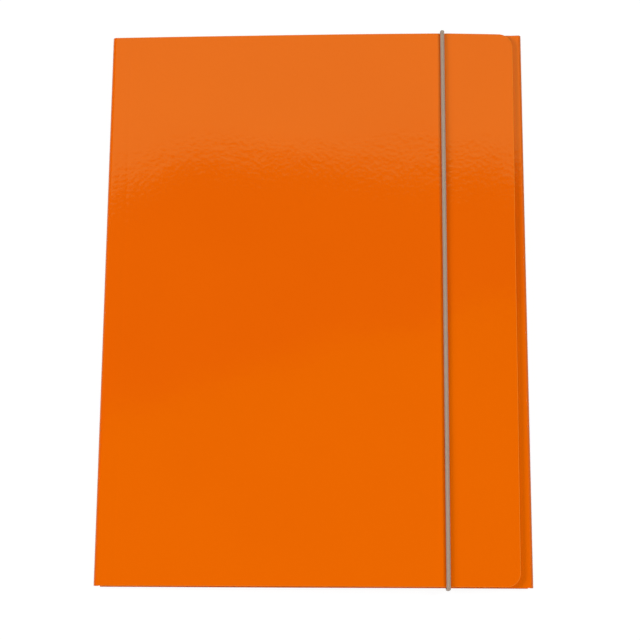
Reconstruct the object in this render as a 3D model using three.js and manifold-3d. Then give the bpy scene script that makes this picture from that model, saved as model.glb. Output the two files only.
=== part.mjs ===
// Three flap folder in glossy card, folded shut, with an elastic cord drawn round it.
//
// The card is one die-cut and scored blank: front cover, spine, back panel, a side flap along the
// back panel's free edge, and an end flap at its head and foot. The cord's two ends pass through
// holes in the back panel and are held inside it by small steel tags.
//
// Millimetres. The folder lies on its back panel, +Z up, with the spine at -X and the head at +Y.
// The origin is under the middle of the folder, on the surface that it lies on.

import * as THREE from 'three';
import { mergeVertices } from 'three/addons/utils/BufferGeometryUtils.js';
import Module from 'manifold-3d';

const wasm = await Module();
wasm.setup();

// The closed folder, over its folds
const folderWidth = 240;
const folderHeight = 320;
const cardThickness = 0.6;

// Front cover: it stops short of the side fold, and its free edge is slightly out of square
const coverSetback = 6.1;
const coverEndSetback = 0.5;
const coverCornerRadius = 8;
const coverSkew = THREE.MathUtils.degToRad(0.32);

// End flaps, at the head and the foot: each side draws in by the taper
const endFlapDepth = 92;
const endFlapTaper = 12;

// Side flap: its ends are square beside the fold and draw in past the shoulder
const sideFlapDepth = 105;
const sideFlapShoulder = 24;
const sideFlapTaper = 14;
const sideFlapEndSetback = 0.3;

// Free corners of the flaps, and the notch between two folds that meet at a corner
const flapCornerRadius = 12;
const cornerRelief = 1.2;

// Clear space under each layer where it leaves its fold
const sideFlapGap = 0.4;
const coverGap = 0.4;

// Score lines beside the spine, on the cover and on the back panel, from the spine's outside
const scoreDistances = [6.4, 11.2];
const scoreWidth = 0.9;
const scoreDepth = 0.12;

// Elastic: a cord pressed oval by its pull, its distance from the spine, and its inside bend radii
const elasticWidth = 2.4;
const elasticThickness = 1.4;
const elasticFromSpine = 193.8;
const elasticSeat = 0.25;
const elasticEdgeBend = 0.6;
const elasticHoleBend = 0.3;

// Holes in the back panel that the elastic passes through
const elasticHoleInset = 35;
const elasticHoleClearance = 0.4;

// Steel tag round each end of the elastic, inside the back panel
const tagLength = 12;
const tagThickness = 0.7;
const tagWall = 0.95;
const tagBoreClearance = 0.15;
const tagSeat = 0.25;

// How the card springs: the back panel lies flat beside the spine and rides over the elastic, and
// the side flap and the cover stand up a little from what is under them
const flatWidth = 80;
const sideFoldLift = 1;
const sideFlapSpring = 0.8;
const sideFlapSpringReach = 80;
const coverSpring = 2.7;

// Facets
const foldFacets = 8;
const flatFacets = 4;
const riseFacets = 8;
const fallFacets = 5;
const cornerFacets = 6;
const bendFacets = 5;
const ovalFacets = 6;
const holeFacets = 10;

// Heights of the middle of each layer where it leaves its fold
const endFlapGap = tagSeat + tagThickness + tagSeat;
const backLevel = cardThickness / 2;
const endFlapLevel = backLevel + cardThickness + endFlapGap;
const sideFlapLevel = endFlapLevel + cardThickness + sideFlapGap;
const coverLevel = sideFlapLevel + cardThickness + coverGap;

// Radius of the middle of the card in each fold
const endFoldRadius = (endFlapLevel - backLevel) / 2;
const sideFoldRadius = (sideFlapLevel - backLevel) / 2;
const spineRadius = (coverLevel - backLevel) / 2;

// The back panel, between the starts of its four folds, and the half lengths of the other layers
const backLeft = -folderWidth / 2 + spineRadius + cardThickness / 2;
const backRight = folderWidth / 2 - sideFoldRadius - cardThickness / 2;
const backHalf = folderHeight / 2 - endFoldRadius - cardThickness / 2;
const coverHalf = folderHeight / 2 - coverEndSetback;
const sideFlapHalf = folderHeight / 2 - sideFlapEndSetback;

// The elastic lies on a ridge, which the back panel makes by riding over it
const elasticX = elasticFromSpine - folderWidth / 2;
const elasticHoleY = folderHeight / 2 - elasticHoleInset;
const ridgeStart = elasticX - elasticWidth / 2 - elasticSeat;
const ridgeEnd = elasticX + elasticWidth / 2 + elasticSeat;
const ridgeLift = elasticThickness + elasticSeat;

// The cover's free edge at half height, and how far it reaches at its longer end
const coverEdge = folderWidth / 2 - coverSetback;
const coverReach = coverEdge + coverHalf * Math.tan(coverSkew);

// Where the folder stands highest, under the elastic
const coverCrest = coverLevel + cardThickness / 2 + ridgeLift + coverSpring;

// Values from start to end in equal parts, both included
function divide(start, end, parts) {
  return Array.from({ length: parts + 1 }, (_, index) => THREE.MathUtils.lerp(start, end, index / parts));
}

// Places across the folder where a layer may bend, from the spine to the side fold
const acrossFlat = divide(backLeft, -folderWidth / 2 + flatWidth, flatFacets);
const acrossRise = divide(-folderWidth / 2 + flatWidth, ridgeStart, riseFacets);
const acrossFall = divide(ridgeEnd, backRight, fallFacets);
const across = [...acrossFlat.slice(0, -1), ...acrossRise, ...acrossFall];

// How far the back panel stands above the surface that the folder lies on
function backRise(x) {
  const rise = THREE.MathUtils.smoothstep(x, -folderWidth / 2 + flatWidth, ridgeStart);
  const fall = THREE.MathUtils.smoothstep(x, ridgeEnd, backRight);
  return ridgeLift * rise - (ridgeLift - sideFoldLift) * fall;
}

// How far the side flap stands above its level: the back panel's rise and its own spring
function sideFlapRise(x) {
  const share = THREE.MathUtils.clamp((backRight - x) / sideFlapSpringReach, 0, 1);
  return backRise(x) + sideFlapSpring * Math.sin((share * Math.PI) / 2);
}

// How far the cover stands above its level: it bows up to the ridge and falls to the side flap
function coverRise(x) {
  const climb = THREE.MathUtils.clamp((x - backLeft) / (ridgeStart - backLeft), 0, 1);
  const fall = THREE.MathUtils.clamp((x - ridgeEnd) / (coverReach - ridgeEnd), 0, 1);
  const bow = (ridgeLift + coverSpring) * Math.sin((climb * Math.PI) / 2);
  return THREE.MathUtils.lerp(bow, sideFlapRise(coverReach), fall);
}

// Adds the places of the score lines to a row of places across the folder
function withScores(places) {
  const scores = scoreDistances.map((distance) => distance - folderWidth / 2);
  const edges = scores.flatMap((x) => [x - scoreWidth / 2, x, x + scoreWidth / 2]);
  return [...places, ...edges].sort((one, other) => one - other);
}

// How far the score lines push the card inwards
function scorePush(x) {
  const nearest = Math.min(...scoreDistances.map((distance) => Math.abs(x + folderWidth / 2 - distance)));
  return scoreDepth * Math.max(1 - nearest / (scoreWidth / 2), 0);
}

// Stations on a line are a place along, a height and a heading. An arc turns left from its first
// heading: heading 0 runs along, a quarter turn runs up.
function arc(along, up, radius, heading, turn, facets) {
  return divide(heading, heading + turn, facets).map((angle) => ({
    along: along + radius * Math.sin(angle),
    up: up - radius * Math.cos(angle),
    heading: angle,
  }));
}

// A card folded flat back on itself
function fold(along, up, radius, heading) {
  return arc(along, up, radius, heading, Math.PI, foldFacets);
}

// The edge-on outline of card whose middle follows the stations
function edgeOutline(stations) {
  const face = (reach) => stations.map(({ along, up, heading }) => (
    new THREE.Vector2(along + reach * Math.sin(heading), up - reach * Math.cos(heading))
  ));
  return new THREE.Shape([...face(cardThickness / 2), ...face(-cardThickness / 2).reverse()]);
}

// An outline through corners, each one sharp or rounded to its own radius
function roundedOutline(corners, facets) {
  return new THREE.Shape(corners.flatMap(({ x, y, radius }, index) => {
    const point = new THREE.Vector2(x, y);
    if (!radius) {
      return [point];
    }
    const towards = (other) => new THREE.Vector2(other.x, other.y).sub(point).normalize();
    const back = towards(corners.at(index - 1));
    const ahead = towards(corners[(index + 1) % corners.length]);
    const halfAngle = Math.acos(back.dot(ahead)) / 2;
    const centre = back.clone().add(ahead).setLength(radius / Math.sin(halfAngle)).add(point);
    const reach = radius / Math.tan(halfAngle);
    const start = back.clone().multiplyScalar(reach).add(point).sub(centre).angle();
    const end = ahead.clone().multiplyScalar(reach).add(point).sub(centre).angle();
    const clockwise = back.cross(ahead) > 0;
    const corner = new THREE.EllipseCurve(centre.x, centre.y, radius, radius, start, end, clockwise);
    return corner.getPoints(facets);
  }));
}

// A closed mesh as a solid that can be joined and cut
function solidOf(geometry) {
  geometry.deleteAttribute('normal');
  geometry.deleteAttribute('uv');
  const merged = mergeVertices(geometry);
  return new wasm.Manifold(new wasm.Mesh({
    numProp: 3,
    vertProperties: merged.getAttribute('position').array,
    triVerts: Uint32Array.from(merged.getIndex().array),
  }));
}

// Draws an outline through a row of places: carry gives the point for the outline's two measures
// at a place
function sweep(outline, places, carry) {
  const steps = places.length - 1;
  const geometry = new THREE.ExtrudeGeometry(outline, { depth: steps, steps, bevelEnabled: false });
  const positions = geometry.getAttribute('position');
  for (let index = 0; index < positions.count; index += 1) {
    const place = places[Math.round(positions.getZ(index))];
    const point = carry(positions.getX(index), positions.getY(index), place);
    positions.setXYZ(index, point.x, point.y, point.z);
  }
  return solidOf(geometry);
}

// Card of one edge-on outline from head to foot
function headToFoot(stations, half) {
  return sweep(edgeOutline(stations), [half, -half], (along, up, y) => new THREE.Vector3(along, y, up));
}

// Everything over and under an outline seen from above, well past the folder's underside and crest
function column(outline) {
  const spare = coverCrest;
  const geometry = new THREE.ExtrudeGeometry(outline, {
    depth: spare + coverCrest + spare,
    curveSegments: holeFacets,
    bevelEnabled: false,
  });
  return solidOf(geometry.translate(0, 0, -spare));
}

// The back panel, with the two holes for the elastic
function makeBackPanel() {
  const stations = withScores(across).map((x) => ({
    along: x,
    up: backLevel + backRise(x) + scorePush(x),
    heading: 0,
  }));
  let panel = headToFoot(stations, backHalf);
  for (const y of [-elasticHoleY, elasticHoleY]) {
    const hole = new THREE.Shape();
    hole.absarc(elasticX, y, elasticWidth / 2 + elasticHoleClearance, 0, 2 * Math.PI);
    panel = panel.subtract(column(hole));
  }
  return panel;
}

// The spine and the front cover, trimmed to the cover's rounded and skewed free edge
function makeSpineAndCover() {
  const places = withScores([...across.filter((x) => x < coverReach), coverReach]);
  const cover = places.map((x) => ({
    along: x,
    up: coverLevel + coverRise(x) - scorePush(x),
    heading: -Math.PI,
  }));
  const spine = fold(backLeft, backLevel + spineRadius, spineRadius, -Math.PI);
  const edgeAt = (y) => coverEdge + y * Math.tan(coverSkew);
  const trim = roundedOutline([
    { x: -folderWidth, y: -coverHalf },
    { x: edgeAt(-coverHalf), y: -coverHalf, radius: coverCornerRadius },
    { x: edgeAt(coverHalf), y: coverHalf, radius: coverCornerRadius },
    { x: -folderWidth, y: coverHalf },
  ], cornerFacets);
  const stations = [...cover.reverse().slice(0, -1), ...spine];
  return headToFoot(stations, folderHeight / 2).intersect(column(trim));
}

// The side fold and the side flap, with square ends beside the fold and tapered ends past them
function makeSideFlap() {
  const freeEdge = backRight - sideFlapDepth;
  const places = [freeEdge, ...across.filter((x) => x > freeEdge)].reverse();
  const flap = places.map((x) => ({
    along: x,
    up: sideFlapLevel + sideFlapRise(x),
    heading: Math.PI,
  }));
  const sideFold = fold(backRight, backLevel + sideFoldLift + sideFoldRadius, sideFoldRadius, 0);
  const shoulder = backRight - sideFlapShoulder;
  const trim = roundedOutline([
    { x: folderWidth, y: -sideFlapHalf },
    { x: folderWidth, y: sideFlapHalf },
    { x: shoulder, y: sideFlapHalf },
    { x: freeEdge, y: sideFlapHalf - sideFlapTaper, radius: flapCornerRadius },
    { x: freeEdge, y: sideFlapTaper - sideFlapHalf, radius: flapCornerRadius },
    { x: shoulder, y: -sideFlapHalf },
  ], cornerFacets);
  const stations = [...sideFold, ...flap.slice(1)];
  return headToFoot(stations, folderHeight / 2).intersect(column(trim));
}

// An end fold and its flap, at the head (1) or the foot (-1): they ride up over the elastic with
// the back panel
function makeEndFlap(end) {
  const freeEdge = backHalf - endFlapDepth;
  const stations = [
    ...fold(backHalf, backLevel + endFoldRadius, endFoldRadius, 0),
    { along: freeEdge, up: endFlapLevel, heading: Math.PI },
  ];
  const places = end > 0 ? across : [...across].reverse();
  const flap = sweep(edgeOutline(stations), places, (along, up, x) => (
    new THREE.Vector3(x, end * along, up + backRise(x))
  ));
  const left = backLeft + cornerRelief;
  const right = backRight - cornerRelief;
  const trim = roundedOutline([
    { x: right, y: end * folderHeight },
    { x: left, y: end * folderHeight },
    { x: left, y: end * backHalf },
    { x: left + endFlapTaper, y: end * freeEdge, radius: flapCornerRadius },
    { x: right - endFlapTaper, y: end * freeEdge, radius: flapCornerRadius },
    { x: right, y: end * backHalf },
  ], cornerFacets);
  return flap.intersect(column(trim));
}

// The whole folded blank
function makeCard() {
  const card = makeBackPanel().add(makeSpineAndCover()).add(makeSideFlap());
  const { vertProperties, triVerts } = card.add(makeEndFlap(1)).add(makeEndFlap(-1)).getMesh();
  const geometry = new THREE.BufferGeometry();
  geometry.setAttribute('position', new THREE.BufferAttribute(vertProperties, 3));
  geometry.setIndex(new THREE.BufferAttribute(triVerts, 1));
  geometry.computeVertexNormals();
  return geometry;
}

// The elastic's route, in the upright plane through its ridge: short steps round the bends, and one
// step along each straight run
class ElasticRoute extends THREE.Curve {
  constructor(stations) {
    super();
    this.stations = stations;
  }

  stationAt(share) {
    return this.stations[Math.round(share * (this.stations.length - 1))];
  }

  getPointAt(share) {
    const { along, up } = this.stationAt(share);
    return new THREE.Vector3(elasticX, along, up);
  }

  getTangentAt(share) {
    const { heading } = this.stationAt(share);
    return new THREE.Vector3(0, Math.cos(heading), Math.sin(heading));
  }
}

// Heights of the underside of a tag, and of its top, where the elastic ends
const tagBase = ridgeLift + cardThickness + tagSeat;
const tagTop = tagBase + tagThickness;

// An oval as wide and as thick as the elastic, and larger by the clearance all round
function elasticOval(clearance) {
  const halfWidth = elasticWidth / 2 + clearance;
  const halfThickness = elasticThickness / 2 + clearance;
  return new THREE.Shape().absellipse(0, 0, halfWidth, halfThickness, 0, 2 * Math.PI);
}

// The elastic: from the tag at the head, down through its hole, under and round the head, along the
// front, round the foot, and up through its other hole
function makeElastic() {
  const low = elasticThickness / 2;
  const high = coverCrest + elasticSeat + elasticThickness / 2;
  const edgeRadius = elasticThickness / 2 + elasticEdgeBend;
  const holeRadius = elasticThickness / 2 + elasticHoleBend;
  const end = folderHeight / 2 + elasticSeat - elasticEdgeBend;
  const hole = elasticHoleY + holeRadius;
  const quarter = Math.PI / 2;
  const bend = (along, up, radius, turns) => arc(along, up, radius, turns * quarter, quarter, bendFacets);
  const stations = [
    { along: elasticHoleY, up: tagTop, heading: -quarter },
    ...bend(hole, low + holeRadius, holeRadius, -1),
    ...bend(end, low + edgeRadius, edgeRadius, 0),
    ...bend(end, high - edgeRadius, edgeRadius, 1),
    ...bend(-end, high - edgeRadius, edgeRadius, 2),
    ...bend(-end, low + edgeRadius, edgeRadius, 3),
    ...bend(-hole, low + holeRadius, holeRadius, 4),
    { along: -elasticHoleY, up: tagTop, heading: quarter },
  ];
  return new THREE.ExtrudeGeometry(elasticOval(0), {
    steps: stations.length - 1,
    curveSegments: ovalFacets,
    extrudePath: new ElasticRoute(stations),
  });
}

// A tag: a flat bar with round ends, across the elastic, with a bore that the elastic is fixed in
function makeTag() {
  const halfWidth = elasticThickness / 2 + tagBoreClearance + tagWall;
  const halfLength = tagLength / 2;
  const outline = roundedOutline([
    { x: -halfLength, y: -halfWidth, radius: halfWidth },
    { x: halfLength, y: -halfWidth, radius: halfWidth },
    { x: halfLength, y: halfWidth, radius: halfWidth },
    { x: -halfLength, y: halfWidth, radius: halfWidth },
  ], bendFacets);
  outline.holes.push(elasticOval(tagBoreClearance));
  return new THREE.ExtrudeGeometry(outline, {
    depth: tagThickness,
    curveSegments: ovalFacets,
    bevelEnabled: false,
  });
}

const glossyCard = new THREE.MeshStandardMaterial({ color: 0xe86400, roughness: 0.2, metalness: 0 });
const wovenElastic = new THREE.MeshStandardMaterial({ color: 0xa5acac, roughness: 0.8, metalness: 0 });
const plainSteel = new THREE.MeshStandardMaterial({ color: 0xb4b4b0, roughness: 0.35, metalness: 1 });

function namedMesh(name, geometry, material) {
  const mesh = new THREE.Mesh(geometry, material);
  mesh.name = name;
  return mesh;
}

const folder = new THREE.Group();
folder.add(namedMesh('card_folder', makeCard(), glossyCard));
folder.add(namedMesh('elastic_cord', makeElastic(), wovenElastic));
for (const [name, y] of [['cord_tag_top', elasticHoleY], ['cord_tag_bottom', -elasticHoleY]]) {
  const tag = namedMesh(name, makeTag(), plainSteel);
  tag.position.set(elasticX, y, tagBase);
  folder.add(tag);
}

export default folder;
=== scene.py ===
# %% [markdown]
# A closed three flap folder: glossy orange card with a grey elastic drawn round it.
# The real folder is one die-cut sheet, so this lesson works as the maker does: it cuts the blank
# flat, welds and trims it, folds it with one function, and then gives it the card's thickness.
# The elastic is woven flat in the same way, and rolled into a cord.

# %% Load the frame
import math

import bmesh
import bpy
from mathutils import Color, Matrix, Vector


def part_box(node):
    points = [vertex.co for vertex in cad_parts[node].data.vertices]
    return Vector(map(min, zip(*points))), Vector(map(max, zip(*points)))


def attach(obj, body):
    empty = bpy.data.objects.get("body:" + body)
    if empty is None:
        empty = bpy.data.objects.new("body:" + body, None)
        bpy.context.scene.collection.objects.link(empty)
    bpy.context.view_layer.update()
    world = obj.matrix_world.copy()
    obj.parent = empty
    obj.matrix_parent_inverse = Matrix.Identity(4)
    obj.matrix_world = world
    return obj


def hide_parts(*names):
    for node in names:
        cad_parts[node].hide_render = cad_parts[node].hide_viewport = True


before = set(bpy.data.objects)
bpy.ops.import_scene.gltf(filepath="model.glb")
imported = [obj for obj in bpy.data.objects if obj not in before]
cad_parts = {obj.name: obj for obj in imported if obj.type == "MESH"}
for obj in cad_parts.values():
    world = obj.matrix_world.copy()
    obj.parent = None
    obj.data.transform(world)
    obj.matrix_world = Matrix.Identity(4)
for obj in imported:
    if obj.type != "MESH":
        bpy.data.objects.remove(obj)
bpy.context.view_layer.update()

# %% [markdown]
# Sizes come first. The outside of the folder is read from the frame, so the looks keep to the
# CAD part, and the rest are the card's and the cord's own sizes. Blender works in metres, so each
# millimetre value is multiplied by MM.

# %% Sizes of the folder
MM = 0.001
folder_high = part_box("card_folder")[1]
HALF_WIDTH = folder_high[0]
HALF_HEIGHT = folder_high[1]
CARD = 0.6 * MM

COVER_SETBACK = 6.1 * MM
COVER_END_SETBACK = 0.5 * MM
COVER_CORNER = 8 * MM
COVER_SKEW = math.radians(0.32)

END_FLAP_DEPTH = 92 * MM
END_FLAP_TAPER = 12 * MM
SIDE_FLAP_DEPTH = 105 * MM
SIDE_FLAP_SHOULDER = 24 * MM
SIDE_FLAP_TAPER = 14 * MM
SIDE_FLAP_END_SETBACK = 0.3 * MM
FLAP_CORNER = 12 * MM
CORNER_RELIEF = 1.2 * MM

DOCUMENT_GAP = 1.2 * MM
LAYER_GAP = 0.4 * MM
SCORES = [(6.4 * MM, 0.008 * MM), (11.2 * MM, 0.02 * MM)]
SCORE_WIDTH = 3 * MM
SCORE_STEPS = 8

# %% Sizes of the elastic
CORD_WIDTH = 2.4 * MM
CORD_THICKNESS = 1.4 * MM
CORD_FRONT_THICKNESS = 2.4 * MM
CORD_FROM_SPINE = 193.8 * MM
CORD_SEAT = 0.25 * MM
CORD_TOUCH = 0.06 * MM
CORD_EDGE_BEND = 0.6 * MM
CORD_HOLE_BEND = 0.3 * MM
CORD_HOLE_INSET = 35 * MM
CORD_HOLE_CLEARANCE = 0.4 * MM

# %% How the card springs
FLAT_WIDTH = 80 * MM
SIDE_FOLD_LIFT = 1 * MM
SIDE_FLAP_SPRING = 0.8 * MM
SIDE_FLAP_SPRING_REACH = 80 * MM
SIDE_BEAD = 0.36 * MM
SIDE_BEAD_WIDTH = 4.6 * MM
SIDE_BEAD_RETURN = 30 * MM
COVER_SPRING = 2.46 * MM
COVER_EDGE_LIFT = 0.8 * MM

# %% Places that follow from the sizes
BACK_LEVEL = CARD / 2
END_FLAP_LEVEL = BACK_LEVEL + CARD + DOCUMENT_GAP
SIDE_FLAP_LEVEL = END_FLAP_LEVEL + CARD + LAYER_GAP
COVER_LEVEL = SIDE_FLAP_LEVEL + CARD + LAYER_GAP
END_RADIUS = (END_FLAP_LEVEL - BACK_LEVEL) / 2
SIDE_RADIUS = (SIDE_FLAP_LEVEL - BACK_LEVEL) / 2
SPINE_RADIUS = (COVER_LEVEL - BACK_LEVEL) / 2
BACK_LEFT = -HALF_WIDTH + SPINE_RADIUS + CARD / 2
BACK_RIGHT = HALF_WIDTH - SIDE_RADIUS - CARD / 2
BACK_HALF = HALF_HEIGHT - END_RADIUS - CARD / 2
COVER_HALF = HALF_HEIGHT - COVER_END_SETBACK
SIDE_FLAP_HALF = HALF_HEIGHT - SIDE_FLAP_END_SETBACK
CORD_X = CORD_FROM_SPINE - HALF_WIDTH
HOLE_Y = HALF_HEIGHT - CORD_HOLE_INSET
RIDGE_HALF = CORD_WIDTH / 2 + CORD_SEAT
RIDGE_LIFT = CORD_THICKNESS + CORD_SEAT
FLAT_END = -HALF_WIDTH + FLAT_WIDTH
COVER_REACH = HALF_WIDTH - COVER_SETBACK + COVER_HALF * math.tan(COVER_SKEW)
COVER_CREST = COVER_LEVEL + CARD / 2 + RIDGE_LIFT + COVER_SPRING
print("folder", round(2 * HALF_WIDTH / MM), "x", round(2 * HALF_HEIGHT / MM), "mm")

# %% [markdown]
# How the closed card springs decides how light runs over it. The back panel lies flat beside the
# spine and rides over the elastic under it; the cover bows up to the elastic and falls to the
# side flap. Beside its fold the side flap dips a little, so the fold stands up as a low bead.
# A formula for each layer keeps the layers clear of each other everywhere.

# %% How high each layer stands
def clamp(value, low=0.0, high=1.0):
    return max(low, min(high, value))


def smooth_step(value, start, end):
    share = clamp((value - start) / (end - start))
    return share * share * (3 - 2 * share)


def back_rise(x):
    rise = smooth_step(x, FLAT_END, CORD_X - RIDGE_HALF)
    fall = smooth_step(x, CORD_X + RIDGE_HALF, BACK_RIGHT)
    return RIDGE_LIFT * rise - (RIDGE_LIFT - SIDE_FOLD_LIFT) * fall


def side_flap_rise(x):
    share = clamp((BACK_RIGHT - x) / SIDE_FLAP_SPRING_REACH)
    return back_rise(x) + SIDE_FLAP_SPRING * math.sin(share * math.pi / 2)


def bead_dip(x):
    inward = BACK_RIGHT - x
    settled = smooth_step(inward, 0, SIDE_BEAD_WIDTH)
    returned = smooth_step(inward, 2 * SIDE_BEAD_WIDTH, SIDE_BEAD_RETURN)
    return SIDE_BEAD * settled * (1 - returned)


def cover_rise(x):
    ridge_start = CORD_X - RIDGE_HALF
    ridge_end = CORD_X + RIDGE_HALF
    climb = clamp((x - BACK_LEFT) / (ridge_start - BACK_LEFT))
    fall = clamp((x - ridge_end) / (COVER_REACH - ridge_end))
    bow = (RIDGE_LIFT + COVER_SPRING) * math.sin(climb * math.pi / 2)
    return bow + (side_flap_rise(COVER_REACH) + COVER_EDGE_LIFT - bow) * fall

# %% [markdown]
# Real card is never dead flat. Slow swells ten or twenty centimetres long bend the reflections on
# the cover, and they die out towards the spine fold and the free edge. The cord presses a shallow
# groove into the cover, which is what sets it into the card instead of on top of it. Each swell
# below has its run along and across the folder, its start and its share of the height.

# %% Swells and the groove in the cover
SWELL_HEIGHT = 0.16 * MM
SWELLS = [(5.2, 2.3, 0.4, 1), (8.7, -3.9, 1.9, 0.6), (12.6, 7.4, 0.8, 0.35)]
SWELL_FADE_AT_SPINE = 30 * MM
SWELL_FADE_AT_FREE_EDGE = 20 * MM
GROOVE_DEPTH = 0.6 * MM
GROOVE_REACH = 1.5 * MM


def cover_swell(x, y):
    across = x / HALF_WIDTH
    along = y / HALF_HEIGHT
    fade = smooth_step(x - BACK_LEFT, 0, SWELL_FADE_AT_SPINE)
    fade *= smooth_step(COVER_REACH - x, 0, SWELL_FADE_AT_FREE_EDGE)
    waves = sum(
        share * math.sin(run_along * along + run_across * across + start)
        for run_along, run_across, start, share in SWELLS
    )
    return SWELL_HEIGHT * fade * waves / 2


def cord_groove(x):
    return GROOVE_DEPTH * math.exp(-((x - CORD_X) / GROOVE_REACH) ** 2)

# %% [markdown]
# A score line is a shallow dent that the maker presses before folding. The film bridges it, so
# from outside it is only a faint soft hollow that runs down beside the spine.

# %% The score lines
def score_push(x):
    push = 0
    for distance, depth in SCORES:
        off = clamp((x + HALF_WIDTH - distance) / (SCORE_WIDTH / 2), -1, 1)
        push += depth * (1 + math.cos(math.pi * off)) / 2
    return push

# %% [markdown]
# Folding is one function from the flat blank to the closed folder. Past a fold line the card
# follows a half circle, and after that it runs back the way it came. It could be done with bone
# rigs or bend modifiers, but a formula lands each layer exactly on its level.

# %% The fold
def fold_over(distance, radius):
    turn = clamp(distance / radius, 0, math.pi)
    run = max(distance - math.pi * radius, 0)
    return radius * math.sin(turn) - run, radius * (1 - math.cos(turn)), distance >= math.pi * radius


def folded(flat_x, flat_y):
    if flat_x < BACK_LEFT:
        out, up, is_cover = fold_over(BACK_LEFT - flat_x, SPINE_RADIUS)
        x = BACK_LEFT - out
        lift = 0
        if is_cover:
            lift = cover_rise(x) + cover_swell(x, flat_y) - cord_groove(x) - score_push(x)
        return Vector((x, flat_y, BACK_LEVEL + up + lift))
    if flat_x > BACK_RIGHT:
        out, up, is_flap = fold_over(flat_x - BACK_RIGHT, SIDE_RADIUS)
        x = BACK_RIGHT + out
        lift = side_flap_rise(x) - bead_dip(x) if is_flap else SIDE_FOLD_LIFT
        return Vector((x, flat_y, BACK_LEVEL + up + lift))
    if abs(flat_y) > BACK_HALF:
        out, up, _ = fold_over(abs(flat_y) - BACK_HALF, END_RADIUS)
        y = math.copysign(BACK_HALF + out, flat_y)
        return Vector((flat_x, y, BACK_LEVEL + up + back_rise(flat_x)))
    return Vector((flat_x, flat_y, BACK_LEVEL + back_rise(flat_x) + score_push(flat_x)))

# %% [markdown]
# The blank is laid out flat in panels: the back panel, the folds, and the four leaves. Each panel
# is a grid, and neighbours share the number of cells along their common fold, so one weld joins
# them into a single sheet. One large grid would be simpler, but it would fill the four corners
# too, where the real blank has nothing.

# %% Panels of the blank
CELL = 4 * MM
FOLD_CELLS = 12
WELD = 0.01 * MM


def cells(length):
    return max(1, round(length / CELL))


def add_panel(blank, x_range, y_range, columns, rows):
    width = x_range[1] - x_range[0]
    height = y_range[1] - y_range[0]
    centre = Matrix.Translation((sum(x_range) / 2, sum(y_range) / 2, 0))
    scale = Matrix.Diagonal((width / 2, height / 2, 1, 1))
    bmesh.ops.create_grid(blank, x_segments=columns, y_segments=rows, size=1, matrix=centre @ scale)


SPINE_START = BACK_LEFT - math.pi * SPINE_RADIUS
COVER_FREE = SPINE_START - (COVER_REACH - BACK_LEFT)
SIDE_FLAP_START = BACK_RIGHT + math.pi * SIDE_RADIUS
SIDE_FLAP_FREE = SIDE_FLAP_START + SIDE_FLAP_DEPTH
END_FLAP_START = BACK_HALF + math.pi * END_RADIUS
END_FLAP_FREE = END_FLAP_START + END_FLAP_DEPTH


def lay_out_blank():
    blank = bmesh.new()
    full = (-BACK_HALF, BACK_HALF)
    rows = cells(2 * BACK_HALF)
    columns = cells(BACK_RIGHT - BACK_LEFT)
    add_panel(blank, (BACK_LEFT, BACK_RIGHT), full, columns, rows)
    add_panel(blank, (SPINE_START, BACK_LEFT), full, FOLD_CELLS, rows)
    add_panel(blank, (COVER_FREE, SPINE_START), full, cells(SPINE_START - COVER_FREE), rows)
    add_panel(blank, (BACK_RIGHT, SIDE_FLAP_START), full, FOLD_CELLS, rows)
    add_panel(blank, (SIDE_FLAP_START, SIDE_FLAP_FREE), full, cells(SIDE_FLAP_DEPTH), rows)
    for end in (-1, 1):
        fold_strip = sorted((end * BACK_HALF, end * END_FLAP_START))
        flap = sorted((end * END_FLAP_START, end * END_FLAP_FREE))
        add_panel(blank, (BACK_LEFT, BACK_RIGHT), fold_strip, columns, FOLD_CELLS)
        add_panel(blank, (BACK_LEFT, BACK_RIGHT), flap, columns, cells(END_FLAP_DEPTH))
    bmesh.ops.remove_doubles(blank, verts=blank.verts, dist=WELD)
    print("blank laid out in", len(blank.faces), "cells")
    return blank

# %% [markdown]
# The cover and the side flap are a little longer than the back panel between its end folds, so
# their ends are drawn out by extruding the edge of the sheet there.

# %% Draw the ends out
def draw_out_ends(blank, is_there, new_half):
    for end in (-1, 1):
        def is_drawn(vert, end=end):
            return abs(vert.co.y - end * BACK_HALF) < WELD and is_there(vert.co.x)

        edges = [edge for edge in blank.edges if edge.is_boundary and all(map(is_drawn, edge.verts))]
        drawn = bmesh.ops.extrude_edge_only(blank, edges=edges)["geom"]
        new_verts = [item for item in drawn if isinstance(item, bmesh.types.BMVert)]
        bmesh.ops.translate(blank, verts=new_verts, vec=(0, end * (new_half - BACK_HALF), 0))

# %% [markdown]
# A knife cuts each panel to its outline. Every outline here bulges outwards, so a rounded corner
# is a row of straight cuts that touch its arc, and each cut throws away what lies outside it.

# %% Cut with straight cuts
CORNER_CUTS = 10
CUT_SNAP = 0.001 * MM
# slot of the cut edge's material, which also paints the highlight ring beside the cover's edge
CORE_AND_HIGHLIGHT_SLOT = 2


def part_of(blank, is_inside):
    faces = [face for face in blank.faces if is_inside(face.calc_center_median())]
    edges = {edge for face in faces for edge in face.edges}
    verts = {vert for face in faces for vert in face.verts}
    return [*verts, *edges, *faces]


def cut(blank, is_inside, point, normal, drop=True):
    point, normal = Vector(point), Vector(normal)
    bmesh.ops.bisect_plane(
        blank, geom=part_of(blank, is_inside), dist=CUT_SNAP,
        plane_co=(*point, 0), plane_no=(*normal, 0),
    )
    places = [(face, face.calc_center_median()) for face in blank.faces]
    outside = [face for face, place in places if is_inside(place) and (place.xy - point).dot(normal) > 0]
    if drop:
        bmesh.ops.delete(blank, geom=outside, context="FACES")
        return []
    return outside


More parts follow.
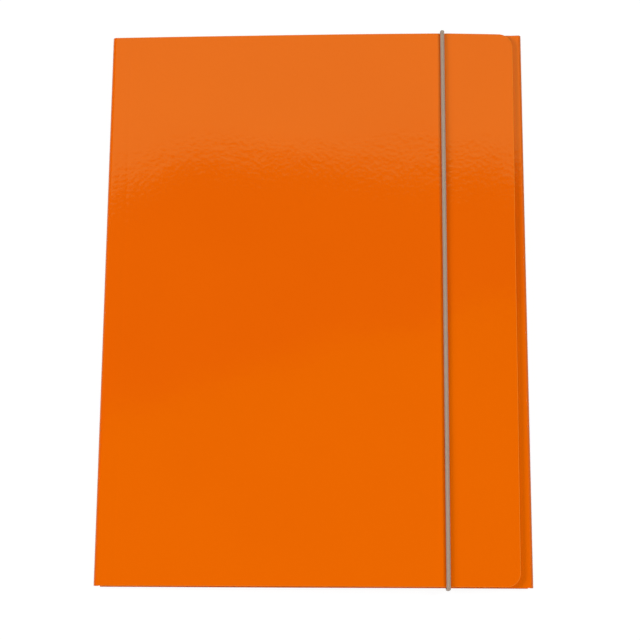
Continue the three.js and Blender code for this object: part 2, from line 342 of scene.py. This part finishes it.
def round_off(blank, is_inside, corner, side_normals, radius, rim=0):
    first, last = (Vector(normal).normalized() for normal in side_normals)
    half_turn = first.angle(last) / 2
    middle = (first + last).normalized()
    centre = Vector(corner) - middle * (radius / math.cos(half_turn))
    for index in range(CORNER_CUTS + 1):
        normal = first.slerp(last, index / CORNER_CUTS)
        for face in cut(blank, is_inside, centre + normal * (radius - rim), normal, drop=not rim):
            face.material_index = CORE_AND_HIGHLIGHT_SLOT

# %% [markdown]
# The cover has rounded corners and, as on the photographed folder, a free edge that isn't quite
# square. The flaps taper, so that they slide in under each other. With a rim, the same outline is
# cut again a little further in, and the faces outside it take the material of the cut edge, as a
# painted highlight along the cover's edge.

# %% Trim the three flaps and the cover
def trim_cover(blank, rim=0):
    def is_cover(place):
        return place.x < SPINE_START

    edge_normal = Vector((-math.cos(COVER_SKEW), -math.sin(COVER_SKEW)))
    middle = COVER_FREE + COVER_HALF * math.tan(COVER_SKEW)
    for end in (-1, 1):
        corner = (middle - end * COVER_HALF * math.tan(COVER_SKEW), end * COVER_HALF)
        round_off(blank, is_cover, corner, ((0, end), edge_normal), COVER_CORNER, rim)


def trim_side_flap(blank):
    shoulder = SIDE_FLAP_START + SIDE_FLAP_SHOULDER
    slope = Vector((SIDE_FLAP_TAPER, SIDE_FLAP_DEPTH - SIDE_FLAP_SHOULDER)).normalized()
    for end in (-1, 1):
        def is_here(place, end=end):
            return place.x > SIDE_FLAP_START and place.y * end > 0

        taper_normal = Vector((slope.x, end * slope.y))
        cut(blank, is_here, (shoulder, end * SIDE_FLAP_HALF), taper_normal)
        corner = (SIDE_FLAP_FREE, end * (SIDE_FLAP_HALF - SIDE_FLAP_TAPER))
        round_off(blank, is_here, corner, (taper_normal, (1, 0)), FLAP_CORNER)


def trim_end_flap(blank, end):
    def is_here(place):
        return place.y * end > BACK_HALF and BACK_LEFT < place.x < BACK_RIGHT

    def is_flap(place):
        return place.y * end > END_FLAP_START

    slope = Vector((END_FLAP_DEPTH, END_FLAP_TAPER)).normalized()
    for side, limit in ((-1, BACK_LEFT + CORNER_RELIEF), (1, BACK_RIGHT - CORNER_RELIEF)):
        taper_normal = Vector((side * slope.x, end * slope.y))
        cut(blank, is_here, (limit, 0), (side, 0))
        cut(blank, is_flap, (limit, end * END_FLAP_START), taper_normal)
        corner = (limit - side * END_FLAP_TAPER, end * END_FLAP_FREE)
        round_off(blank, is_flap, corner, (taper_normal, (0, end)), FLAP_CORNER)

# %% [markdown]
# Extra cuts that throw nothing away add rows of points where the sheet bends sharply: at the
# score lines, and on both sides of the cord. A finer grid everywhere would do it too, but at many
# times the number of faces.

# %% Add rows where the sheet bends
CORD_ROWS = [-4, -3, -2.3, -1.7, -1.1, -0.5, 0.5, 1.1, 1.7, 2.3, 3, 4]


def blank_place_on_cover(x):
    return SPINE_START - (x - BACK_LEFT)


def add_bend_rows(blank):
    def is_cover(place):
        return place.x < SPINE_START

    def is_back(place):
        return BACK_LEFT < place.x < BACK_RIGHT and abs(place.y) < BACK_HALF

    for distance, _ in SCORES:
        for step in range(SCORE_STEPS + 1):
            x = distance - HALF_WIDTH + (step / SCORE_STEPS - 0.5) * SCORE_WIDTH
            cut(blank, is_cover, (blank_place_on_cover(x), 0), (1, 0), drop=False)
            cut(blank, is_back, (x, 0), (1, 0), drop=False)
    for shift in CORD_ROWS:
        x = CORD_X + shift * MM
        cut(blank, is_cover, (blank_place_on_cover(x), 0), (1, 0), drop=False)

# %% [markdown]
# Two holes are punched in the back panel for the elastic. A face is cut round each hole by
# straight cuts on all sides and then dropped, as a punch does.

# %% Punch the holes
HOLE_CUTS = 16


def punch_holes(blank):
    radius = CORD_WIDTH / 2 + CORD_HOLE_CLEARANCE
    window = 3 * radius
    for end in (-1, 1):
        centre = Vector((CORD_X, end * HOLE_Y))

        def is_near(place, centre=centre):
            return max(abs(place.x - centre.x), abs(place.y - centre.y)) < window

        for index in range(HOLE_CUTS):
            angle = 2 * math.pi * index / HOLE_CUTS
            normal = Vector((math.cos(angle), math.sin(angle)))
            cut(blank, is_near, centre + normal * radius, normal, drop=False)
        places = [(face, face.calc_center_median().xy) for face in blank.faces]
        punched = [face for face, place in places if (place - centre).length < radius]
        bmesh.ops.delete(blank, geom=punched, context="FACES")
        print("hole punched at", round(CORD_X / MM, 1), round(end * HOLE_Y / MM, 1), "mm")

# %% [markdown]
# A mesh becomes an object that stands at the origin, because the points already have their places.
# Every finished piece says later which body it rides on.

# %% Finish a piece
def make_object(name, mesh_source, materials):
    mesh = bpy.data.meshes.new(name)
    mesh_source.to_mesh(mesh)
    mesh_source.free()
    for material in materials:
        mesh.materials.append(material)
    mesh.shade_smooth()
    piece = bpy.data.objects.new(name, mesh)
    bpy.context.scene.collection.objects.link(piece)
    return piece

# %% [markdown]
# Shader maths reads best as ordinary expressions. This class wraps a socket, and its operators
# add Math nodes; its node method adds any other node. A field without a socket is an empty start,
# from which a tree's first nodes are made.

# %% Expressions for shaders
class Field:
    """A socket of a node tree that can be used in expressions."""

    def __init__(self, tree, socket=None):
        self.tree = tree
        self.socket = socket

    def feed(self, socket):
        self.tree.links.new(self.socket, socket)

    def node(self, kind, settings=None, output=0, **inputs):
        made = self.tree.nodes.new(kind)
        for name, value in (settings or {}).items():
            setattr(made, name, value)
        for name, value in inputs.items():
            is_number = name[0] == "i" and name[1:].isdigit()
            socket = made.inputs[int(name[1:]) if is_number else name]
            if isinstance(value, Field):
                value.feed(socket)
            else:
                socket.default_value = value
        return Field(self.tree, made.outputs[output])

    def math(self, operation, *values):
        return self.node("ShaderNodeMath", {"operation": operation}, **{
            f"i{index}": value for index, value in enumerate(values)
        })

    def __add__(self, other):
        return self.math("ADD", self, other)

    def __sub__(self, other):
        return self.math("SUBTRACT", self, other)

    def __mul__(self, other):
        return self.math("MULTIPLY", self, other)

    def __truediv__(self, other):
        return self.math("DIVIDE", self, other)

    def __rsub__(self, other):
        return self.math("SUBTRACT", other, self)

    def __rtruediv__(self, other):
        return self.math("DIVIDE", other, self)

    __radd__ = __add__
    __rmul__ = __mul__

    def clamped(self):
        return self.node("ShaderNodeClamp", Value=self)

    def mix(self, low, high):
        """A colour between two colours, by this value."""
        return self.node(
            "ShaderNodeMix", {"data_type": "RGBA"}, output=2, Factor=self, i6=low, i7=high)

    def noise(self, scale, detail=2.0, roughness=0.5):
        """Noise at this place, with scale patches to the metre."""
        return self.node(
            "ShaderNodeTexNoise", Vector=self, Scale=scale, Detail=detail, Roughness=roughness)

# %% [markdown]
# Most materials here are one Principled shader with some of its sockets fed. The floor and the
# glowing panels are not, so they start from an empty tree that has only its output.

# %% A new material
def new_material(name):
    material = bpy.data.materials.new(name)
    material.use_nodes = True
    tree = material.node_tree
    return material, Field(tree), tree.nodes["Principled BSDF"].inputs


def new_surface(name):
    material = bpy.data.materials.new(name)
    material.use_nodes = True
    tree = material.node_tree
    tree.nodes.clear()
    output = tree.nodes.new("ShaderNodeOutputMaterial")
    return material, Field(tree), output.inputs["Surface"]


def bump(height, sockets, strength=1.0):
    """Feeds a height in metres to the shader's normal."""
    normal = height.node("ShaderNodeBump", Strength=strength, Distance=1.0, Height=height)
    normal.feed(sockets["Normal"])

# %% [markdown]
# Colours are written as they are in the finished picture, because that is how they are read, and
# turned to the linear values that shaders work in.

# %% Colours
def linear(*channels):
    shares = [channel / 255 for channel in channels]
    return (*Color(shares).from_srgb_to_scene_linear(), 1.0)


ORANGE = linear(234, 97, 0)
ORANGE_DEEP = linear(230, 93, 0)
# painted shade and a painted reflection of the white floor, laid over the spine and the side fold
FOLD_SHADE_AND_REFLECTION = linear(208, 106, 38)
INSIDE_ORANGE = linear(226, 118, 42)
# bare board of the cut edge, also used as the painted highlight beside the cover's edge
CORE_AND_HIGHLIGHT_ORANGE = linear(228, 110, 16)
CORE_AND_HIGHLIGHT_PALE = linear(238, 126, 38)
# the yarn's grey, warmed with a painted cast of orange light bounced off the card
YARN_GREY_WITH_BOUNCE_TINT = linear(199, 169, 152)
YARN_SHADE = linear(100, 92, 85)
NICKEL = linear(196, 195, 190)

# %% [markdown]
# The outside of the card carries a thin clear film. It is glossy, but the card under it prints
# through as a faint orange-peel swell a few millimetres long, and that is what breaks up the edge
# of a reflection. The blank's flat place is its UV map, so the peel follows the sheet round folds,
# and a duller, greyer orange is painted over the spine and the side fold: painted shade where the
# folds turn away from the light, and a painted reflection of the white floor. A clear coat would
# mirror too, but the film has the same gloss everywhere, so the plain shader is enough.

# %% The glossy film
PRINT_CLOUDS = 14.0
FINE_PEEL = 420.0
BROAD_PEEL = 80.0
PEEL_HEIGHT = 0.05 * MM
FILM_FIBRES = 1500.0
FILM_FIBRE_HEIGHT = 0.0015 * MM
FILM_RUBS = 36.0
FILM_ROUGHNESS = 0.055
FILM_RUB_ROUGHNESS = 0.03
FILM_IOR = 1.5
FOLD_SHADE_STRENGTH = 1.5
FOLD_SHADE_REACH = 2.4 * MM


# The share of painted fold shade: full over the middle of a fold, none a little way off it.
def painted_fold_shade(across, fold):
    away = across.math("ABSOLUTE", across - sum(fold) / 2)
    return ((1 - away / FOLD_SHADE_REACH) * FOLD_SHADE_STRENGTH).clamped()


def make_film():
    material, start, sockets = new_material("glossy_film")
    flat = start.node("ShaderNodeTexCoord", output="UV")
    across = flat.node("ShaderNodeSeparateXYZ", Vector=flat)
    fold_shade = painted_fold_shade(across, (SPINE_START, BACK_LEFT))
    fold_shade += painted_fold_shade(across, (BACK_RIGHT, SIDE_FLAP_START))
    print_colour = flat.noise(PRINT_CLOUDS, 3.0).mix(ORANGE_DEEP, ORANGE)
    fold_shade.mix(print_colour, FOLD_SHADE_AND_REFLECTION).feed(sockets["Base Color"])
    peel = flat.noise(FINE_PEEL) * PEEL_HEIGHT + flat.noise(BROAD_PEEL, 1.0) * PEEL_HEIGHT
    bump(peel + flat.noise(FILM_FIBRES) * FILM_FIBRE_HEIGHT, sockets)
    rub = flat.noise(FILM_RUBS, 4.0, 0.6)
    (rub * FILM_RUB_ROUGHNESS + FILM_ROUGHNESS).feed(sockets["Roughness"])
    sockets["IOR"].default_value = FILM_IOR
    return material

# %% [markdown]
# Inside, the card has the same print but no film, so it is matt and shows its clouds of fibre. The
# cut edge is bare board, dyed through but paler than the print, and the rawest surface of all. Its
# pale colour is also painted as a thin highlight along the cover's edge, on the face beside the cut.

# %% The inside of the card, its cut edge, and the painted edge highlight
INSIDE_CLOUDS = 60.0
INSIDE_FIBRES = 1100.0
INSIDE_FIBRE_HEIGHT = 0.006 * MM
INSIDE_ROUGHNESS = 0.62
CORE_FIBRES = 2600.0
CORE_FIBRE_HEIGHT = 0.012 * MM
CORE_ROUGHNESS = 0.85


def make_inside():
    material, start, sockets = new_material("card_inside")
    flat = start.node("ShaderNodeTexCoord", output="UV")
    flat.noise(INSIDE_CLOUDS, 4.0).mix(INSIDE_ORANGE, ORANGE).feed(sockets["Base Color"])
    bump(flat.noise(INSIDE_FIBRES, 3.0) * INSIDE_FIBRE_HEIGHT, sockets)
    sockets["Roughness"].default_value = INSIDE_ROUGHNESS
    return material


def make_core_and_highlight():
    material, start, sockets = new_material("card_core_and_edge_highlight")
    place = start.node("ShaderNodeTexCoord", output="Object")
    fibres = place.noise(CORE_FIBRES, 3.0)
    fibres.mix(CORE_AND_HIGHLIGHT_ORANGE, CORE_AND_HIGHLIGHT_PALE).feed(sockets["Base Color"])
    bump(fibres * CORE_FIBRE_HEIGHT, sockets)
    sockets["Roughness"].default_value = CORE_ROUGHNESS
    return material

# %% [markdown]
# Now the sheet is made: laid out, drawn out, trimmed, folded, and at last thickened. The folds
# could be thickened by hand, but Solidify keeps the thickness even round them, and gives the inside
# and the cut edge their own materials. A fine bevel softens the cut, and the rim beside it takes the
# cut edge's pale colour as a painted highlight.

# %% The folded card
# width of the painted highlight ring along the cover's edge
HIGHLIGHT_RIM = 0.3 * MM
EDGE_BEVEL = 0.04 * MM
EDGE_ANGLE = math.radians(50)


def make_card():
    blank = lay_out_blank()
    draw_out_ends(blank, lambda x: x < BACK_LEFT + WELD, COVER_HALF)
    draw_out_ends(blank, lambda x: x > BACK_RIGHT - WELD, SIDE_FLAP_HALF)
    trim_cover(blank)
    trim_side_flap(blank)
    trim_end_flap(blank, -1)
    trim_end_flap(blank, 1)
    add_bend_rows(blank)
    # a second, inner cut paints a highlight ring in the cut edge's colour
    trim_cover(blank, HIGHLIGHT_RIM)
    punch_holes(blank)
    flat_map = blank.loops.layers.uv.new("blank")
    for face in blank.faces:
        for loop in face.loops:
            loop[flat_map].uv = loop.vert.co.xy
    for vert in blank.verts:
        vert.co = folded(vert.co.x, vert.co.y)
    bmesh.ops.reverse_faces(blank, faces=blank.faces)
    print("folded sheet has", len(blank.faces), "faces")
    card = make_object("folded_card", blank, [make_film(), make_inside(), make_core_and_highlight()])
    thicken = card.modifiers.new("thickness", "SOLIDIFY")
    thicken.thickness = CARD
    thicken.offset = 0
    thicken.use_even_offset = True
    thicken.material_offset = 1
    thicken.material_offset_rim = CORE_AND_HIGHLIGHT_SLOT
    soften = card.modifiers.new("edge", "BEVEL")
    soften.width = EDGE_BEVEL
    soften.use_clamp_overlap = False
    soften.limit_method = "ANGLE"
    soften.angle_limit = EDGE_ANGLE
    soften.harden_normals = True
    return card


folded_card = make_card()
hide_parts("card_folder")
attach(folded_card, "root")

# %% [markdown]
# The elastic runs from the tag at the head through its hole, round the head, down the front,
# round the foot and in through the other hole. It is a walk of straight runs and left turns, like
# a toy turtle's, so a length along the cord gives a place and a heading.

# %% The walk of the cord
def cord_walk():
    low = CORD_THICKNESS / 2
    high = COVER_CREST - GROOVE_DEPTH + CORD_TOUCH + CORD_FRONT_THICKNESS / 2
    end = HALF_HEIGHT + CORD_TOUCH + CORD_THICKNESS / 2
    edge = CORD_THICKNESS / 2 + CORD_EDGE_BEND
    hole = CORD_THICKNESS / 2 + CORD_HOLE_BEND
    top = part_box("cord_tag_top")[1][2]
    into_hole = (top - low - hole, 0)
    under = (end - edge - HOLE_Y - hole, 0)
    side = (high - low - 2 * edge, 0)
    front = (2 * (end - edge), 0)
    turn_edge = (edge * math.pi / 2, edge)
    turn_hole = (hole * math.pi / 2, hole)
    legs = [
        into_hole, turn_hole, under, turn_edge, side, turn_edge, front,
        turn_edge, side, turn_edge, under, turn_hole, into_hole,
    ]
    return (HOLE_Y, top), legs


def walk_along(start, legs, distance):
    y, z = start
    heading = -math.pi / 2
    for length, radius in legs:
        step = min(distance, length)
        if radius:
            turned = heading + step / radius
            y += radius * (math.sin(turned) - math.sin(heading))
            z += radius * (math.cos(heading) - math.cos(turned))
            heading = turned
        else:
            y += step * math.cos(heading)
            z += step * math.sin(heading)
        distance -= step
        if distance <= 0:
            break
    return y, z, heading

# %% [markdown]
# The cover of the cord is a tubular braid: two families of yarns wind round it in opposite
# directions and pass over and under each other. Where a yarn is on top it stands proud, and
# between yarns there is a dimple.

# %% The relief of the braid
CORD_SIDES = 24
RING_STEP = 0.17 * MM
YARNS = 8
BRAID_PITCH = 5.6 * MM
YARN_RELIEF = 0.1 * MM
YARN_UNDER = 0.45


def yarn_height(turns, on_top):
    return math.cos(math.pi * turns) ** 2 * (YARN_UNDER + (1 - YARN_UNDER) * on_top)


def braid_height(distance, around):
    one = YARNS * (around + distance / BRAID_PITCH)
    other = YARNS * (around - distance / BRAID_PITCH)
    over = math.cos(math.pi * (one + other) / 2) ** 2
    return max(yarn_height(one, over), yarn_height(other, 1 - over))

# %% [markdown]
# The yarns are spun polyester, matt and a little fuzzy. A bump map of the braid would do from far
# off, but here the yarns are real relief. Their height comes with each point as an attribute, so
# the material can shade the dimples between them, where light hardly reaches.

# %% Material of the elastic
YARN_SHADING = 0.75
FUZZ_SHADING = 0.35
FUZZ = 2200.0
FUZZ_HEIGHT = 0.03 * MM
FUZZ_STRENGTH = 0.8
YARN_ROUGHNESS = 0.82
YARN_SHEEN = 0.25


def make_yarn():
    material, start, sockets = new_material("braided_elastic")
    height = start.node("ShaderNodeAttribute", {"attribute_name": "yarn_height"}, output="Fac")
    fuzz = start.node("ShaderNodeTexCoord", output="Object").noise(FUZZ, 3.0, 0.6)
    shade = height * YARN_SHADING + fuzz * FUZZ_SHADING
    shade.mix(YARN_SHADE, YARN_GREY_WITH_BOUNCE_TINT).feed(sockets["Base Color"])
    bump(fuzz * FUZZ_HEIGHT, sockets, FUZZ_STRENGTH)
    sockets["Roughness"].default_value = YARN_ROUGHNESS
    sockets["Sheen Weight"].default_value = YARN_SHEEN
    return material

# %% [markdown]
# The braid starts as a flat grid, one cell for each step along the cord and each step round it.
# Rolling the grid up closes it, a weld shuts the seam, and two caps close the ends. A bevelled
# curve would be quicker, but it can't carry the relief. The cord is fuller down the front, where
# it lies free, and flatter under the back panel, where the folder presses on it.

# %% Roll up the cord
SEAM_WELD = 0.002 * MM


def make_elastic():
    start, legs = cord_walk()
    total = sum(length for length, _ in legs)
    rings = round(total / RING_STEP)
    cord = bmesh.new()
    bmesh.ops.create_grid(cord, x_segments=rings, y_segments=CORD_SIDES, size=1)
    heights = cord.verts.layers.float.new("yarn_height")
    for vert in cord.verts:
        distance = (vert.co.x + 1) / 2 * total
        around = (vert.co.y + 1) / 2
        height = braid_height(distance, around % 1)
        y, z, heading = walk_along(start, legs, distance)
        proud = YARN_RELIEF * (height - 1)
        angle = 2 * math.pi * around
        across = (CORD_WIDTH / 2 + proud) * math.cos(angle)
        fullness = smooth_step(z, COVER_CREST - GROOVE_DEPTH, COVER_CREST + CORD_THICKNESS / 2)
        thickness = CORD_THICKNESS + (CORD_FRONT_THICKNESS - CORD_THICKNESS) * fullness
        up = (thickness / 2 + proud) * math.sin(angle)
        vert[heights] = height
        vert.co = (CORD_X + across, y - up * math.sin(heading), z + up * math.cos(heading))
    bmesh.ops.remove_doubles(cord, verts=cord.verts, dist=SEAM_WELD)
    bmesh.ops.holes_fill(cord, edges=[edge for edge in cord.edges if edge.is_boundary])
    bmesh.ops.recalc_face_normals(cord, faces=cord.faces)
    print("cord is", round(total / MM, 1), "mm long in", len(cord.faces), "faces")
    return make_object("woven_elastic", cord, [make_yarn()])


woven_elastic = make_elastic()
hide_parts("elastic_cord")
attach(woven_elastic, "root")

# %% [markdown]
# The two tags are right as they are, so they only take a better material: nickel plate with the
# fine lines of the strip that they were stamped from. The lines are noise stretched along X.

# %% Nickel for the tags
STRIP_LINES = (200.0, 4000.0, 4000.0)
STRIP_LINE_HEIGHT = 0.004 * MM
NICKEL_ROUGHNESS = 0.25
NICKEL_LINE_ROUGHNESS = 0.2


def make_nickel():
    material, start, sockets = new_material("tag_nickel")
    place = start.node("ShaderNodeTexCoord", output="Object")
    stretched = place.node("ShaderNodeMapping", Vector=place, Scale=STRIP_LINES)
    lines = stretched.noise(1.0, 3.0)
    (lines * NICKEL_LINE_ROUGHNESS + NICKEL_ROUGHNESS).feed(sockets["Roughness"])
    bump(lines * STRIP_LINE_HEIGHT, sockets)
    sockets["Base Color"].default_value = NICKEL
    sockets["Metallic"].default_value = 1.0
    return material


nickel = make_nickel()
for name in ("cord_tag_top", "cord_tag_bottom"):
    tag = bpy.data.objects[name]
    tag.data.materials.clear()
    tag.data.materials.append(nickel)
    print(name, "takes", nickel.name)

# %% [markdown]
# The floor is plain and white. To the camera most of its light is its own, so that it shows white
# right up to the edges of the picture. The rest is lit, so that it keeps the folder's shadow, and
# for all other rays it is an ordinary white floor that throws its light back up.

# %% The floor
FLOOR_HALF = 12.0
FLOOR_DROP = 0.05 * MM
FLOOR_WHITE = 0.7
FLOOR_GLOW = 1.08
FLOOR_OWN_LIGHT = 0.85


def make_floor():
    grid = bmesh.new()
    bmesh.ops.create_grid(grid, x_segments=1, y_segments=1, size=FLOOR_HALF)
    bmesh.ops.translate(grid, verts=grid.verts, vec=(0, 0, -FLOOR_DROP))
    material, start, surface = new_surface("white_floor")
    seen = start.node("ShaderNodeLightPath", output="Is Camera Ray")
    lit = start.node("ShaderNodeBsdfDiffuse", Color=(FLOOR_WHITE, FLOOR_WHITE, FLOOR_WHITE, 1))
    glow = start.node("ShaderNodeEmission", Color=(1, 1, 1, 1), Strength=FLOOR_GLOW)
    start.node("ShaderNodeMixShader", Fac=seen * FLOOR_OWN_LIGHT, i1=lit, i2=glow).feed(surface)
    print("floor is", 2 * FLOOR_HALF, "m wide")
    return make_object("floor", grid, [material])


floor = make_floor()

# %% [markdown]
# Soft light comes low from both sides, so both flanks of the cord lie in its shadow and the cover's
# free edge shades the strip beside it. A third lamp beyond the foot evens the light out. The lamps
# are hidden from mirrors, because a lamp in the film would draw a bright line down each fold.

# %% Lights
LAMPS = {
    "left_lamp": {"place": (-1.8, 0.3, 1.05), "size": 0.8, "power": 30},
    "right_lamp": {"place": (1.6, 0.35, 1.4), "size": 0.6, "power": 24.3},
    "foot_lamp": {"place": (0.1, -1.1, 1.4), "size": 1.0, "power": 14.2},
}
ROOM_LIGHT = 0.02


def add_area_light(name, place, size, power):
    data = bpy.data.lights.new(name, "AREA")
    data.shape = "SQUARE"
    data.size = size
    data.energy = power
    light = bpy.data.objects.new(name, data)
    light.location = place
    light.rotation_euler = (-Vector(place)).to_track_quat("-Z", "Y").to_euler()
    light.visible_glossy = False
    bpy.context.scene.collection.objects.link(light)


for name, lamp in LAMPS.items():
    add_area_light(name, **lamp)
    print(name, lamp["power"], "W")

world = bpy.data.worlds.new("dim_room")
bpy.context.scene.world = world
world.use_nodes = True
background = world.node_tree.nodes["Background"].inputs
background["Color"].default_value = (1, 1, 1, 1)
background["Strength"].default_value = ROOM_LIGHT

# %% [markdown]
# What the film mirrors is made of two staged sheets that glow. The bright one hangs beyond the
# head: its near edge is the lower limit of the sheen on the cover, so it has that limit's shape,
# with a hump left of the middle and a sag at both ends. A dim one hangs over the foot, where only
# the mirror sees it, and lightens the lower half of the cover a little.

# %% The soft panels
PANEL_HEIGHT = 1.0
PANEL_COLUMNS = 96
PANEL_HALF_WIDTH = 0.62
SHEEN_NEAR = 0.411
SHEEN_HUMP = (-0.235, 0.02, 0.06)
SHEEN_SAG = 0.035
SHEEN_SAG_LEFT = (0.27, 0.39)
SHEEN_SAG_RIGHT = (0.29, 0.39)
SHEEN_FAR = 0.93
SHEEN_TINT = (0.4, 1.0, 0.34, 1.0)
SHEEN_GLOW = 1.05
FOOT_PANEL_LIMIT = 0.17
FOOT_PANEL_SLANT = 0.2
FOOT_PANEL_FAR = -0.4
FOOT_PANEL_TINT = (1.0, 0.9, 0.02, 1.0)
FOOT_PANEL_GLOW = 0.45


def sheen_limit(x):
    middle, rise, reach = SHEEN_HUMP
    hump = rise * math.exp(-((x - middle) / reach) ** 2)
    sag = SHEEN_SAG * (smooth_step(-x, *SHEEN_SAG_LEFT) + smooth_step(x, *SHEEN_SAG_RIGHT))
    return SHEEN_NEAR + hump - sag


def foot_limit(x):
    return FOOT_PANEL_LIMIT + FOOT_PANEL_SLANT * x


def make_soft_panel(name, limit, far, tint, strength):
    grid = bmesh.new()
    bmesh.ops.create_grid(grid, x_segments=PANEL_COLUMNS, y_segments=1, size=1)
    for vert in grid.verts:
        x = vert.co.x * PANEL_HALF_WIDTH
        vert.co = (x, limit(x) if vert.co.y < 0 else far, PANEL_HEIGHT)
    material, start, surface = new_surface(name)
    start.node("ShaderNodeEmission", Color=tint, Strength=strength).feed(surface)
    panel = make_object(name, grid, [material])
    panel.visible_camera = False
    print(name, "hangs at", PANEL_HEIGHT, "m")
    return panel


make_soft_panel("sheen_panel", sheen_limit, SHEEN_FAR, SHEEN_TINT, SHEEN_GLOW)
foot_panel = make_soft_panel("foot_panel", foot_limit, FOOT_PANEL_FAR, FOOT_PANEL_TINT, FOOT_PANEL_GLOW)
foot_panel.visible_diffuse = False
foot_panel.visible_shadow = False

# %% [markdown]
# The camera stands where the photograph's four corners of the folder place it: high over the
# foot, looking almost straight down. Its place, its three turns and its focal length were solved
# together, because a guess at one of them would have to be paid for by the others.

# %% The camera
CAMERA_PLACE = (0.02787, -0.1927, 0.84411)
CAMERA_YAW = math.radians(7.711)
CAMERA_TILT = math.radians(12.317)
CAMERA_ROLL = math.radians(-7.54)
FOCAL_PIXELS = 1521.7
IMAGE_PIXELS = 640
SENSOR_WIDTH = 36

camera_data = bpy.data.cameras.new("camera")
camera_data.sensor_width = SENSOR_WIDTH
camera_data.lens = SENSOR_WIDTH * FOCAL_PIXELS / IMAGE_PIXELS
camera = bpy.data.objects.new("camera", camera_data)
camera.matrix_world = (
    Matrix.Translation(CAMERA_PLACE)
    @ Matrix.Rotation(CAMERA_YAW, 4, "Z")
    @ Matrix.Rotation(CAMERA_TILT, 4, "X")
    @ Matrix.Rotation(CAMERA_ROLL, 4, "Z")
)
bpy.context.scene.collection.objects.link(camera)
bpy.context.scene.camera = camera
bpy.context.scene.view_settings.view_transform = "Standard"
print("camera is", round(CAMERA_PLACE[2], 2), "m up, with a lens of", round(camera_data.lens, 1), "mm")
